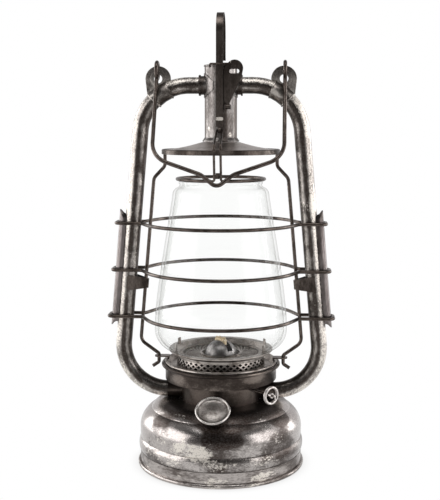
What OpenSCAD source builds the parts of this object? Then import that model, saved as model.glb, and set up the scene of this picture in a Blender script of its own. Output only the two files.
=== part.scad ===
// Wick-fed tubular kerosene lantern, standing on its tank foot at z = 0.
// The front, where the filler cap and the bail are, faces -Y. Left is -X.

/* [Tank] */
// Outer radius of the foot bead
foot_r = 60; // [56:0.5:66]
// Height of the foot skirt under the seam band
skirt_h = 10.4; // [8:0.2:14]
// Height of the rolled seam band
band_h = 9.8; // [8:0.2:12]
// Height of the straight wall over the band
wall_h = 7.2; // [5:0.2:16]
// Radius of the rounded shoulder
shoulder_r = 15; // [12:0.5:15]
// Radius of the crown inside the shoulder crease
crown_r = 16; // [13:0.5:16]
// Thickness of the tinplate
sheet = 0.8; // [0.6:0.05:1]

/* [Filler] */
// Radius of the filler cap over its rolled rim
cap_r = 12; // [11:0.25:12.5]
// Outer radius of the filler neck
neck_r = 6.2; // [5.6:0.1:6.6]
// Forward tilt of the filler axis
cap_tilt = 34; // [32:1:36]
// Distance that the cap's face stands inside the foot bead
cap_inset = 9.7; // [9:0.1:9.7]

/* [Burner cup and collar] */
// Radius of the drum under the collar
drum_r = 28; // [27:0.25:30]
// Height of the drum
drum_h = 15.25; // [14.75:0.25:17]
// Radius of the collar wall
collar_r = 39.9; // [39:0.1:40]
// Height of the collar wall
collar_h = 8.15; // [7.15:0.5:11.15]
// Radius of the rolled rims
bead_r = 1.3; // [1:0.05:1.4]

/* [Burner] */
// Radius of the burner dome
dome_r = 11.7; // [10.6:0.1:12.4]
// Direction of the wick and its shaft, from the front towards the right
burner_turn = 45; // [30:1:60]
// Width of the wick
wick_w = 11; // [9:0.5:12]
// Thickness of the wick
wick_t = 2; // [1.6:0.1:2.2]
// Height that the wick stands over the dome
wick_show = 3; // [0.5:0.5:4]
// Radius of the feed wheels on the shaft
feed_r = 2.5; // [2:0.1:2.8]
// Radius of the wire wheel on the shaft
knob_r = 6.3; // [5:0.1:8]
// Distance of the wire wheel from the lantern's axis
knob_reach = 56.6; // [53:0.2:62]

/* [Globe] */
// Greatest outer radius of the glass
globe_r = 47.4; // [45:0.2:47.6]
// Radius of the glass at its foot
globe_foot_r = 36; // [35.5:0.1:36.4]
// Radius of the glass at its mouth
globe_mouth_r = 29; // [28:0.1:29.6]
// Height of the glass
globe_h = 119.7; // [112:0.5:126]
// Thickness of the glass
glass = 2; // [1.6:0.1:2.2]

/* [Tray] */
// Distance that the tray's rolled rim stands inside the collar's wall
tray_inset = 1; // [0.8:0.05:1.2]
// Depth of the trough under the tray's rim
trough_d = 3; // [2.4:0.1:3.4]
// Height of the inner plate over the tray's rim
plate_rise = 5.2; // [4.8:0.1:6]
// Height of the glass seat over the inner plate
seat_rise = 3.4; // [3:0.1:4]
// Radius of the perforated wall at its foot
grille_r = 31.3; // [30.5:0.1:32]
// Number of holes in each row of the wall
grille_n = 42; // [30:1:46]

/* [Hood and chimney] */
// Radius of the hood
hood_r = 41.6; // [38:0.2:43]
// Height of the band round the hood's edge
hood_band = 3.5; // [3:0.1:5]
// Rise of the hood from its edge to its hole
hood_rise = 4.7; // [4:0.1:7]
// Free height between the glass and the hood
hood_gap = 19; // [17:0.5:22]
// Radius of the chimney
chimney_r = 11.3; // [11:0.1:11.4]
// Height of the side tubes' middle over the chimney's foot
tube_rise = 39; // [38:0.5:44]
// Height of the chimney over the side tubes' middle
chimney_over = 14; // [13:0.5:18]

/* [Side tubes] */
// Outer radius of the side tubes
tube_r = 5.75; // [5.5:0.05:5.8]
// Distance from the axis to the upper corner of a side tube
tube_span = 54; // [53.5:0.1:55]
// Outward lean of the side tubes
tube_lean = 5.1; // [4.8:0.1:5.6]
// Bend radius at the top of the side tubes
top_bend = 34.5; // [33:0.5:36]
// Bend radius at the foot of the side tubes
foot_bend = 32; // [28:0.5:33]

/* [Guard and wires] */
// Radius of the guard wires
guard_wire = 1.25; // [1:0.05:1.4]
// Radius of the side wires
side_wire = 1.25; // [1:0.05:1.3]
// Half the gap between the two runs of a guard wire
guard_half = 7.3; // [7.3:0.1:8]
// Radius of the curved runs of the guard wires
guard_r = 55; // [54:0.1:55.5]
// Height of the lowest guard wire over the foot of the glass
guard_low = 23; // [20:0.5:28]
// Distance between guard wires
guard_pitch = 33.5; // [28:0.5:34]
// Depth of the guard strips outside the tubes
strip_d = 4.4; // [4:0.1:5]
// Half the width of the guard strips
strip_half = 4.2; // [4:0.05:4.3]

/* [Lift] */
// Travel of the globe, its tray and the hood
lift = 18; // [10:1:18]
// Width of the lift strap
strap_w = 4.9; // [4.2:0.1:5]
// Distance of the strap's legs from the axis
strap_reach = 13.25; // [13.2:0.05:13.5]
// Height of the strap's top over the side tubes' middle
strap_over = 49.7; // [46:0.5:56]

/* [Bail] */
// Radius of the bail wire
bail_wire = 1.4; // [1.2:0.05:1.5]
// Half the width of the bail
bail_half = 44.6; // [44.2:0.1:45]
// Reach of the bail from its hinge to its notch
bail_reach = 88; // [86:0.5:94]
// Forward tilt of the bail at rest
bail_tilt = 28; // [28:0.5:32]
// Radius of the eyes at the bail's ends
eye_r = 5.75; // [5.5:0.05:6]

/* [Hidden] */
$fn = 64;

// Colours of the aged finish
tin = "#5d5650";
dark_tin = "#332c28";
silver_tin = "#96908c";
wire_tin = "#4a433e";
cotton = "#d9c08c";
clear_glass = "#cfd8d4";

// Clearances
gap = 0.3;          // between pieces on different bodies
fit = 0.03;         // a piece held in another piece of the same body
run = 0.05;         // a shaft in its bore
step = 0.02;        // wire bends are this much thinner than straight wire
lap = 0.2;          // straight wire reaches this far into a bend

// Heights from the foot up
band_z = skirt_h;
wall_z = band_z + band_h;
shoulder_z = wall_z + wall_h;
shoulder_a = 64;
crown_a = 40;
skirt_r = foot_r - 1.8;
shoulder_x = skirt_r - shoulder_r;
crease_r = shoulder_x + shoulder_r * cos(shoulder_a);
crease_z = shoulder_z + shoulder_r * sin(shoulder_a) + 0.2;
crown_x = crease_r - crown_r * cos(crown_a);
crown_z = crease_z - crown_r * sin(crown_a);
tank_z = crown_z + crown_r;
cap_reach = foot_r - cap_inset;
tank_floor_z = 7;
foot_bead = 1.5;
burner_neck_r = 9;
drum_top = tank_z + drum_h;
collar_top = drum_top + sheet + collar_h;
collar_rim_r = collar_r + bead_r + 0.1;
collar_rim_z = collar_top + bead_r;
rim_gap = 2 * bead_r + gap;
tray_rim_r = collar_r - tray_inset;
tray_z = collar_rim_z + sqrt(pow(rim_gap, 2) - pow(collar_rim_r - tray_rim_r, 2));
trough_z = tray_z - trough_d;
plate_z = tray_z + plate_rise;
seat_z = plate_z + seat_rise;
globe_z = seat_z + sheet + gap;
globe_top = globe_z + globe_h;
grille_top_r = grille_r - 1.1;
tray_hole = dome_r + 1.9;
belly_z = globe_z + 14.5;
neck_z = globe_top - 8;
glass_neck_r = globe_mouth_r + 5;
ring_wire = 1.2;
ring_r = globe_mouth_r + ring_wire + 0.5;
ring_z = globe_top + gap + ring_wire;
hood_z = globe_top + hood_gap;
hood_top = hood_z + hood_band + hood_rise;
hood_hole = chimney_r + 2.1;
chimney_z = hood_top + gap;
tube_z = chimney_z + tube_rise;
chimney_top = tube_z + chimney_over;

// Side tube, in the plane y = 0
port_z = tank_z + tube_r + run;
tube_foot = tube_span + (tube_z - port_z) * tan(tube_lean);
tube_in = chimney_r - 2;
socket_r = tube_r + 0.45;
socket_end = drum_r + 10.2;
bend_x = tube_span - top_bend * tan((90 - tube_lean) / 2);
bend_z = tube_z - top_bend;

// Guard, and the side wires that slide in its guides
strip_back = tube_r + strip_d;
strip_low = guard_z(0) - 8;
strip_high = guard_z(2) + 8.5;
wire_top_x = hood_r - sheet - side_wire - fit;
wire_inset = 12.25;
shoulder_wire_z = globe_top + 2;
shoulder_wire_x = tube_x(shoulder_wire_z) - wire_inset;
knee_low_z = tray_z + 14;
knee_low_x = tube_x(knee_low_z) - wire_inset;
lug_x = collar_rim_r + 3.6;
lug_z = tray_z + 2.8;

// Burner
burner_z = tank_z + sheet;
shaft_z = drum_top - 1.5;
shaft_r = 0.9;
feed_gap = 0.15;
shaft_off = wick_t / 2 + feed_gap + feed_r;
shaft_in = -6;
bush_r = shaft_r + 0.3;
wick_wall = 0.5;
body_r = dome_r - 0.3;
body_top = plate_z - 0.6;
dome_z = body_top;
dome_h = 10.6;
dome_ball = (pow(dome_r, 2) + pow(dome_h, 2)) / (2 * dome_h);
wick_top = dome_z + dome_h + wick_show;
wick_low = tank_floor_z + sheet + 10;
tube_half = wick_w / 2 + gap + wick_wall;
tube_thick = wick_t / 2 + gap + wick_wall;

// Filler
cap_face_z = tank_z + 5.2;
cap_h = 5.8;
cap_x = -2;
cap_under = -2.1;
thread = 0.15;
gasket_t = 0.6;
gasket_z = cap_under - gap / 2 - gasket_t;
neck_top = gasket_z - gap;
neck_h = 12;

// Bail and its ears
ear_x = bail_half - 0.6;
ear_z = tube_z + 4.5;
ear_r = 8.7;
ear_t = 1.8;
ear_sheet = 0.6;
hinge_z = ear_z + eye_r;
ear_a0 = 45;
ear_a1 = 65;

// Lift strap, latch and globe ring
strap_t = 1;
strap_arc = strap_reach;
strap_top = tube_z + strap_over;
strap_low = chimney_z + 8;
strap_tail = tube_z + 19;
wire_leg = 0.85;
leg_x = 1.85;
leg_hole_y = 36.8;
latch_z = chimney_z + 24;
latch_x = 3.2;
latch_y = strap_reach;
latch_top = tube_z + 11;
pin_r = 0.8;

function guard_z(i) = globe_z + guard_low + guard_pitch * i;
function tube_x(z) = tube_span + (tube_z - z) * tan(tube_lean);
function wire_x(z) = shoulder_wire_x + (shoulder_wire_z - z) *
    (knee_low_x - shoulder_wire_x) / (shoulder_wire_z - knee_low_z);
function unit(v) = v / norm(v);
function arc(cx, cz, r, a0, a1, n) =
    [for (i = [0:n]) let (a = a0 + (a1 - a0) * i / n) [cx + r * cos(a), cz + r * sin(a)]];
function reverse(p) = [for (i = [len(p) - 1:-1:0]) p[i]];
function bezier(a, b, c, d, n) = [for (i = [0:n]) let (t = i / n, s = 1 - t)
    s*s*s * a + 3*s*s*t * b + 3*s*t*t * c + t*t*t * d];

module lathe() {
    rotate_extrude($fn = 120) children();
}

// Places what follows on the left (-1) or the right (1)
module on_side(side) {
    mirror([side < 0 ? 1 : 0, 0, 0]) children();
}

// Turns the XY plane of what follows into the XZ plane, facing the front
module upright() {
    rotate([90, 0, 0]) children();
}

module place(x, y, z, at) {
    multmatrix([[x.x, y.x, z.x, at.x], [x.y, y.y, z.y, at.y], [x.z, y.z, z.z, at.z]])
        children();
}

module rod(a, b, r, over_a = 0, over_b = 0) {
    d = unit(b - a);
    side = abs(d.z) < 0.9 ? [0, 0, 1] : [1, 0, 0];
    x = unit(cross(side, d));
    place(x, cross(d, x), d, a - d * over_a)
        cylinder(h = norm(b - a) + over_a + over_b, r = r, $fn = 24);
}

module bend(centre, x, y, bend_r, turn, r) {
    place(x, y, cross(x, y), centre)
        rotate_extrude(angle = turn, $fn = 72)
            translate([bend_r, 0])
                circle(r, $fn = 24);
}

// Round wire or tube through points, with one bend radius a corner
module bent(points, bends, r, closed = false) {
    n = len(points);
    last = closed ? n - 1 : n - 2;
    dirs = [for (i = [0:last]) unit(points[(i + 1) % n] - points[i])];
    first_corner = closed ? 0 : 1;
    last_corner = closed ? n - 1 : n - 2;
    corner = [for (i = [0:n - 1]) i >= first_corner && i <= last_corner];
    radius = [for (i = [0:n - 1]) corner[i] ? bends[i - first_corner] : 0];
    cut = [for (i = [0:n - 1]) corner[i]
        ? radius[i] * tan(acos(dirs[(i + n - 1) % n] * dirs[i]) / 2) : 0];
    for (i = [0:last]) {
        j = (i + 1) % n;
        rod(points[i] + dirs[i] * cut[i], points[j] - dirs[i] * cut[j], r,
            corner[i] ? lap : 0, corner[j] ? lap : 0);
    }
    for (i = [first_corner:last_corner]) {
        u = dirs[(i + n - 1) % n];
        v = dirs[i];
        inward = unit(v - (u * v) * u);
        start = points[i] - u * cut[i];
        bend(start + inward * radius[i], -inward, u, radius[i], acos(u * v), r - step);
    }
}

// ---------------------------------------------------------------- tank

module foot_outline() {
    bead_z = 0.8 * foot_bead;
    difference() {
        union() {
            translate([foot_r - foot_bead, bead_z]) circle(foot_bead, $fn = 32);
            translate([skirt_r - sheet, bead_z]) square([sheet, band_z - bead_z]);
            translate([0, tank_floor_z]) square([skirt_r - sheet / 2, sheet]);
        }
        translate([0, -5]) square([foot_r + 5, 5]);
    }
}

module tank_base() {
    color(tin) lathe() foot_outline();
}

module shell_outline() {
    out_r = skirt_r;
    in_r = skirt_r - sheet;
    polygon(concat(
        [[out_r, band_z], [out_r + 0.8, band_z + 1.2], [out_r + 1.1, band_z + band_h / 2],
         [out_r + 0.8, wall_z - 1.2], [out_r - 0.1, wall_z], [out_r, wall_z + 0.8]],
        arc(shoulder_x, shoulder_z, shoulder_r, 0, shoulder_a, 8),
        arc(crown_x, crown_z, crown_r, crown_a, 90, 7),
        [[burner_neck_r, tank_z], [burner_neck_r, tank_z - sheet]],
        reverse(arc(crown_x, crown_z, crown_r - sheet, crown_a, 90, 7)),
        reverse(arc(shoulder_x, shoulder_z, shoulder_r - sheet, 0, shoulder_a, 8)),
        [[in_r, wall_z + 0.8], [in_r - 0.1, wall_z], [in_r + 0.3, wall_z - 1.4],
         [in_r + 0.3, band_z + 1.4], [in_r, band_z]]));
}

module along_filler() {
    translate([cap_x, -cap_reach, cap_face_z]) rotate([cap_tilt, 0, 0]) children();
}

module tank_shell() {
    color(tin)
    difference() {
        lathe() shell_outline();
        along_filler()
            translate([0, 0, -cap_h - neck_h])
                cylinder(h = neck_h + cap_h, r = neck_r + fit);
    }
}

module filler_neck() {
    color(dark_tin)
    along_filler()
        translate([0, 0, neck_top - neck_h])
            difference() {
                union() {
                    cylinder(h = neck_h, r = neck_r);
                    for (i = [0:1])
                        translate([0, 0, neck_h - 2 - 1.4 * i]) cylinder(h = 0.5, r = neck_r + thread);
                }
                translate([0, 0, -1]) cylinder(h = neck_h + 2, r = neck_r - sheet);
            }
}

// Washer on the neck's mouth, under the cap's crown
module cap_gasket() {
    color("#6b4a33")
    along_filler()
        translate([0, 0, gasket_z])
            difference() {
                cylinder(h = gasket_t, r = neck_r);
                translate([0, 0, -1]) cylinder(h = 3, r = neck_r - 2);
            }
}

module cap_outline() {
    cap_in = neck_r + thread + gap;
    roll = 0.75;
    dish_r = cap_r - 2 * roll;
    translate([cap_r - roll, -roll]) circle(roll, $fn = 32);
    polygon([[0, cap_under], [cap_in, cap_under], [cap_in, -cap_h], [cap_in + sheet, -cap_h],
        [cap_r - roll, -2 * roll + 0.1], [cap_r - 1.6 * roll, -roll], [dish_r, -1.6], [0, -1.2]]);
}

module filler_cap() {
    color(dark_tin) along_filler() lathe() cap_outline();
}

// ---------------------------------------------------------------- burner cup

module burner_cup() {
    color(dark_tin)
    difference() {
        lathe()
            union() {
                translate([burner_neck_r, tank_z]) square([drum_r - burner_neck_r, sheet]);
                translate([drum_r - sheet, tank_z]) square([sheet, drum_h]);
            }
        for (side = [-1, 1])
            on_side(side)
                translate([drum_r - 6, 0, port_z])
                    rotate([0, 90, 0])
                        cylinder(h = 12, r = tube_r - sheet);
        along_shaft()
            translate([drum_r - 4, 0, 0])
                rotate([0, 90, 0])
                    cylinder(h = 8, r = bush_r + fit);
    }
}

module burner_collar() {
    floor_r = drum_r - 2;
    color(tin)
    lathe() {
        translate([floor_r, drum_top]) square([collar_r - floor_r, sheet]);
        translate([collar_r - sheet, drum_top]) square([sheet, collar_h + sheet]);
        polygon([[collar_r - sheet, collar_top - 0.6], [collar_r, collar_top - 0.6],
            [collar_rim_r, collar_top + 0.6], [collar_rim_r - 0.4, collar_top + 1.2]]);
        translate([collar_rim_r, collar_rim_z]) circle(bead_r, $fn = 32);
    }
}

// Sleeve on the drum that a side tube's foot enters, open along its underside
module tube_socket(side) {
    color(dark_tin)
    on_side(side)
        difference() {
            translate([drum_r - 2, 0, port_z])
                rotate([0, 90, 0])
                    cylinder(h = socket_end - drum_r + 2, r = socket_r);
            translate([0, 0, port_z])
                rotate([0, 90, 0])
                    cylinder(h = drum_r + 2, r = tube_r - sheet);
            translate([drum_r + 1.9, 0, port_z])
                rotate([0, 90, 0])
                    cylinder(h = 20, r = tube_r + fit);
            cylinder(h = 200, r = drum_r + fit);
            translate([0, -50, tank_z - 20 + gap]) cube([100, 100, 20]);
        }
}

module tube_socket_left() { tube_socket(-1); }
module tube_socket_right() { tube_socket(1); }

// ---------------------------------------------------------------- side tubes

module tube_line(r, over) {
    bent([[tube_in - over, 0, tube_z], [tube_span, 0, tube_z],
        [tube_foot, 0, port_z], [drum_r + 2 - over, 0, port_z]],
        [top_bend, foot_bend], r);
}

module side_tube(side) {
    color(tin)
    on_side(side)
        difference() {
            tube_line(tube_r, 0);
            tube_line(tube_r - sheet, 1);
        }
}

module side_tube_left() { side_tube(-1); }
module side_tube_right() { side_tube(1); }

// Pointed leaf and flange that join a side tube to the chimney
module tube_saddle(side) {
    flange_x = chimney_r + 3.3;
    leaf_t = 0.5;
    leaf_x = chimney_r + 1.6;
    leaf_half = tube_r + 3.65;
    point_x = 4.6;
    color(silver_tin)
    on_side(side)
        difference() {
            union() {
                intersection() {
                    translate([0, 0, tube_z - 20])
                        cylinder(h = 40, r = chimney_r + fit + leaf_t);
                    translate([0, 20, tube_z])
                        upright()
                            linear_extrude(40)
                                polygon([[point_x, 2.5], [leaf_x, leaf_half], [leaf_x, -leaf_half],
                                    [point_x, -3.2]]);
                }
                translate([chimney_r - 3, 0, tube_z])
                    rotate([0, 90, 0])
                        cylinder(h = 6.9, r = tube_r + fit + 0.7);
                translate([flange_x - 0.5, 0, tube_z])
                    rotate([0, 90, 0])
                        cylinder(h = 1.1, r = tube_r + 1.5);
            }
            translate([0, 0, tube_z - 30]) cylinder(h = 60, r = chimney_r + fit);
            translate([0, 0, tube_z])
                rotate([0, 90, 0])
                    cylinder(h = 40, r = tube_r + fit);
        }
}

module tube_saddle_left() { tube_saddle(-1); }
module tube_saddle_right() { tube_saddle(1); }

module chimney() {
    lip = 1.6;
    lip_bead = 0.6;
    top_bead = 0.7;
    color(silver_tin)
    difference() {
        lathe()
            polygon(concat([[chimney_r - sheet, chimney_z + 3]],
                arc(chimney_r + lip - lip_bead, chimney_z + lip_bead, lip_bead, 200, 410, 10),
                [[chimney_r, chimney_z + 3], [chimney_r, chimney_top - 2 * top_bead]],
                arc(chimney_r - 0.1, chimney_top - top_bead, top_bead, -60, 160, 10),
                [[chimney_r - sheet, chimney_top - 2 * top_bead]]));
        translate([-30, 0, tube_z])
            rotate([0, 90, 0])
                cylinder(h = 60, r = tube_r + fit);
    }
}

// Strap round the tube's top bend, with a pierced disc for the bail
module bail_ear(side) {
    ear_hole = 3;
    boss = 0.4;
    color(tin)
    on_side(side)
        difference() {
            union() {
                place([1, 0, 0], [0, 0, 1], [0, -1, 0], [bend_x, 0, bend_z])
                    rotate([0, 0, ear_a0])
                        rotate_extrude(angle = ear_a1 - ear_a0, $fn = 96)
                            translate([top_bend, 0])
                                circle(tube_r + ear_sheet, $fn = 48);
                translate([ear_x, ear_t / 2, ear_z]) upright() cylinder(h = ear_t, r = ear_r);
                translate([ear_x, ear_t / 2 + boss, ear_z])
                    upright()
                        cylinder(h = ear_t + 2 * boss, r = ear_hole + 2.3);
            }
            place([1, 0, 0], [0, 0, 1], [0, -1, 0], [bend_x, 0, bend_z])
                rotate([0, 0, ear_a0 - 30])
                    rotate_extrude(angle = ear_a1 - ear_a0 + 60, $fn = 96)
                        translate([top_bend, 0])
                            circle(tube_r + fit, $fn = 48);
            translate([ear_x, 5, ear_z]) upright() cylinder(h = 10, r = ear_hole);
        }
}

module bail_ear_left() { bail_ear(-1); }
module bail_ear_right() { bail_ear(1); }

// ---------------------------------------------------------------- guard

// Frame of a side tube's straight leg: X outwards from its middle line, Z up it
module on_leg(side, z) {
    on_side(side)
        translate([tube_x(z), 0, z])
            rotate([0, -tube_lean, 0])
                children();
}

module guard_strip(side) {
    long = (strip_high - strip_low) / cos(tube_lean);
    wing = tube_r - 1.1;
    back = strip_back - strip_half;
    tip = 8;
    color(tin)
    on_leg(side, strip_low)
        difference() {
            linear_extrude(long)
                difference() {
                    union() {
                        translate([wing, -strip_half]) square([back - wing, 2 * strip_half]);
                        translate([back, 0]) circle(strip_half);
                    }
                    translate([wing - 9, -strip_half + sheet])
                        square([back - wing + 9, 2 * (strip_half - sheet)]);
                    translate([back, 0]) circle(strip_half - sheet);
                    translate([wing - 9, -9]) square([9, 18]);
                }
            for (end = [0, 1])
                translate([0, 0, end * long])
                    mirror([0, 0, end])
                        rotate([0, 90, 0])
                            for (y = [-1, 1])
                                scale([1, y, 1])
                                    linear_extrude(30)
                                        polygon([[1, 0.7], [1, 9], [-tip, 9],
                                            for (t = [90:-20:10])
                                                [tip * (cos(t) - 1), (strip_half + 0.1) * sin(t)]]);
        }
}

module guard_strip_left() { guard_strip(-1); }
module guard_strip_right() { guard_strip(1); }

// One guard wire: two curved runs round the glass, closed round each strip
module guard_wire(i) {
    z = guard_z(i);
    tip_x = tube_x(z) + strip_back + 0.2 + guard_wire;
    curve_y = 3;
    knee_x = guard_r + 0.5;
    reach = norm([knee_x, guard_half + curve_y]);
    touch = atan2(guard_half + curve_y, knee_x) + acos(guard_r / reach);
    apex = guard_r / sin(touch) - curve_y;
    color(wire_tin)
    bent([[tip_x, -guard_half, z], [tip_x, guard_half, z], [knee_x, guard_half, z],
        [0, apex, z], [-knee_x, guard_half, z], [-tip_x, guard_half, z],
        [-tip_x, -guard_half, z], [-knee_x, -guard_half, z], [0, -apex, z],
        [knee_x, -guard_half, z]],
        [3.5, 3.5, 3, guard_r, 3, 3.5, 3.5, 3, guard_r, 3], guard_wire, closed = true);
}

module guard_wire_bottom() { guard_wire(0); }
module guard_wire_middle() { guard_wire(1); }
module guard_wire_top() { guard_wire(2); }

// ---------------------------------------------------------------- side wires

module side_wire(side) {
    color(wire_tin)
    on_side(side)
        bent([[wire_top_x, 0, hood_z + hood_band - 1.2 * sheet], [wire_top_x, 0, hood_z - 8.5],
            [shoulder_wire_x, 0, shoulder_wire_z], [knee_low_x, 0, knee_low_z],
            [lug_x, 0, lug_z + 1.7], [lug_x, 0, lug_z - 4.6],
            [lug_x + 4.5, 0, lug_z - 7.6]],
            [5, 6, 7, 1.8, 1.8], side_wire);
}

module side_wire_left() { side_wire(-1); }
module side_wire_right() { side_wire(1); }

// Outline of a sheet drawn tight round two rods, the second one d further in
module belt(r, far_r, d) {
    turn = (r - far_r) / d;
    flat = 0.995 * sqrt(1 - turn * turn);
    circle(r);
    translate([-d, 0]) circle(far_r);
    polygon([[-r * turn, r * flat], [-d - far_r * turn, far_r * flat],
        [-d - far_r * turn, -far_r * flat], [-r * turn, -r * flat]]);
}

// Guide: a tapered sheet folded round the side wire, both legs soldered to the side tube
module wire_guide(side) {
    z = guard_z(1) - 9;
    slot = side_wire + gap;
    apart = (tube_x(z) - wire_x(z)) * cos(tube_lean);
    pad = 5.2;
    tip = 3.2;
    tip_x = -apart - slot - 1;
    color(wire_tin)
    on_leg(side, z)
        intersection() {
            translate([0, 0, -pad])
                linear_extrude(2 * pad)
                    difference() {
                        belt(tube_r + sheet, slot + sheet, apart);
                        belt(tube_r + fit, slot, apart);
                        translate([0.6, -20]) square(40);
                    }
            translate([0, 20, 0])
                rotate([90, 0, 0])
                    linear_extrude(40)
                        polygon([[1, -pad + 1.5], [1, pad - 1.5], [-0.5, pad], [-3.5, pad],
                            [tip_x, tip], [tip_x, -tip], [-3.5, -pad], [-0.5, -pad]]);
        }
}

module wire_guide_left() { wire_guide(-1); }
module wire_guide_right() { wire_guide(1); }

// ---------------------------------------------------------------- burner

module on_burner() {
    rotate([0, 0, burner_turn - 90]) children();
}

module along_shaft() {
    on_burner() translate([0, -shaft_off, shaft_z]) children();
}

module burner_body() {
    wall = 0.8;
    color(dark_tin)
    difference() {
        lathe() {
            translate([burner_neck_r - 1.2, burner_z - sheet - 4])
                square([wall, 4 + sheet + 1]);
            translate([burner_neck_r - 1.2, burner_z]) square([body_r + 2.8 - burner_neck_r, 1]);
            translate([body_r - wall, burner_z]) square([wall, body_top - burner_z]);
            translate([0, body_top - wall]) square([body_r, wall]);
        }
        on_burner()
            translate([-tube_half - fit, -tube_thick - fit, body_top - 3])
                cube([2 * (tube_half + fit), 2 * (tube_thick + fit), 6]);
        along_shaft() rotate([0, 90, 0]) cylinder(h = 30, r = shaft_r + gap);
        for (a = [30:60:359])
            rotate([0, 0, a])
                translate([0, 0, body_top - 6])
                    rotate([0, 90, 0])
                        cylinder(h = 30, r = 2);
    }
}

module wick_tube() {
    color(dark_tin)
    on_burner()
        difference() {
            translate([-tube_half, -tube_thick, burner_z - 12])
                cube([2 * tube_half, 2 * tube_thick, dome_z + dome_h - 2.8 - burner_z + 12]);
            translate([wick_wall - tube_half, wick_wall - tube_thick, 0])
                cube([2 * (tube_half - wick_wall), 2 * (tube_thick - wick_wall), 200]);
            translate([-4.6, -tube_thick - 1, shaft_z - feed_r - gap])
                cube([9.2, 1.8, 2 * (feed_r + gap)]);
        }
}

module burner_dome() {
    wall = 0.7;
    slot_w = 4.3;
    slot_reach = dome_r - 1.2;
    base_a = asin((dome_ball - dome_h) / dome_ball);
    centre_z = dome_z + dome_h - dome_ball;
    color(dark_tin)
    difference() {
        lathe()
            difference() {
                translate([0, centre_z]) circle(dome_ball, $fn = 96);
                translate([0, centre_z]) circle(dome_ball - wall, $fn = 96);
                translate([-50, -50 + dome_z]) square([100, 50]);
                translate([-50, 0]) square([50, 200]);
            }
        on_burner()
            translate([-slot_reach, -slot_w / 2, dome_z + 1])
                cube([2 * slot_reach, slot_w, dome_h]);
    }
}

module wick() {
    color(cotton)
    on_burner()
        translate([-wick_w / 2, -wick_t / 2, wick_low])
            cube([wick_w, wick_t, wick_top - wick_low]);
}

module shaft_bush() {
    color(tin)
    along_shaft()
        rotate([0, 90, 0])
            difference() {
                union() {
                    translate([0, 0, drum_r - 2.5]) cylinder(h = 4, r = bush_r);
                    translate([0, 0, drum_r + fit]) cylinder(h = 0.8, r = bush_r + 0.2);
                }
                cylinder(h = 60, r = shaft_r + run);
            }
}

module wick_shaft() {
    color(wire_tin)
    along_shaft()
        translate([shaft_in, 0, 0])
            rotate([0, 90, 0])
                cylinder(h = knob_reach + 1.2 - shaft_in, r = shaft_r);
}

module feed_wheels() {
    teeth = 10;
    tip = feed_r;
    root = feed_r - 0.6;
    color(wire_tin)
    along_shaft()
        for (x = [-3.2, 2.2])
            translate([x, 0, 0])
                rotate([0, 90, 0])
                    difference() {
                        linear_extrude(1)
                            polygon([for (i = [0:2 * teeth - 1]) let (a = 180 * i / teeth,
                                r = i % 2 == 0 ? tip : root) [r * cos(a), r * sin(a)]]);
                        translate([0, 0, -1]) cylinder(h = 3, r = shaft_r + fit);
                    }
}

// Wire wheel of two turns, whose end is bent inwards to the hub
module wick_knob() {
    wire = 0.75;
    ring = knob_r - wire;
    turn_d = 1.2;
    hub = shaft_r + 0.8;
    tang_a = 40;
    color(silver_tin)
    along_shaft()
        translate([knob_reach, 0, 0])
            rotate([0, 90, 0])
                difference() {
                    union() {
                        rotate_extrude($fn = 64)
                            for (i = [0:1])
                                translate([ring, -turn_d * i]) circle(wire, $fn = 24);
                        translate([0, 0, -1.4]) cylinder(h = 2, r = hub);
                        bent([[ring * cos(tang_a), ring * sin(tang_a), 0],
                            [0.1 * ring, 0.55 * ring, 0], [0, 0.1 * hub, -0.4]], [2], 0.6);
                    }
                    translate([0, 0, -3]) cylinder(h = 6, r = shaft_r + fit);
                }
}

// ---------------------------------------------------------------- lifting part

module tray_outline() {
    wall_r = tray_rim_r - 2.2;
    polygon(concat([[wall_r, trough_z]],
        arc(tray_rim_r, tray_z, bead_r, -140, 150, 14),
        [[wall_r - 0.7, trough_z + sheet], [grille_r + sheet, trough_z + sheet],
         [grille_top_r + sheet, plate_z + sheet], [tray_hole, plate_z + sheet],
         [tray_hole, plate_z], [grille_top_r, plate_z], [grille_r, trough_z]]));
}

// Tray with three staggered rows of diamond holes in its wall
module globe_tray() {
    rows = 3;
    half_w = 1.7;
    half_h = 1.3;
    low = trough_z + sheet + half_h + 0.1;
    high = plate_z - half_h - 0.2;
    color(silver_tin)
    difference() {
        lathe() tray_outline();
        for (row = [0:rows - 1], i = [0:grille_n - 1])
            rotate([0, 0, (i + row / 2) * 360 / grille_n])
                translate([grille_r - 3, 0, low + (high - low) * row / (rows - 1)])
                    rotate([90, 0, 90])
                        linear_extrude(5)
                            polygon([[-half_w, 0], [0, -half_h], [half_w, 0], [0, half_h]]);
    }
}

// Flared ring that carries the glass, with four upright claws inside it
module globe_seat() {
    out_r = globe_foot_r + 1.2;
    claw_r = globe_foot_r - glass - 1.6;
    color(silver_tin)
    union() {
        lathe()
            polygon([[grille_top_r - 3, plate_z + sheet], [grille_top_r, plate_z + sheet],
                [claw_r + 0.6, seat_z], [out_r, seat_z], [out_r, seat_z + sheet],
                [claw_r - 0.2, seat_z + sheet], [grille_top_r - 0.6, plate_z + 2 * sheet],
                [grille_top_r - 3, plate_z + 2 * sheet]]);
        for (side = [-1, 1], a = [-18, 18])
            on_side(side)
                rotate([0, 0, a])
                    translate([claw_r, -2, seat_z + sheet / 2])
                        cube([0.7, 4, 5]);
    }
}

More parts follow.
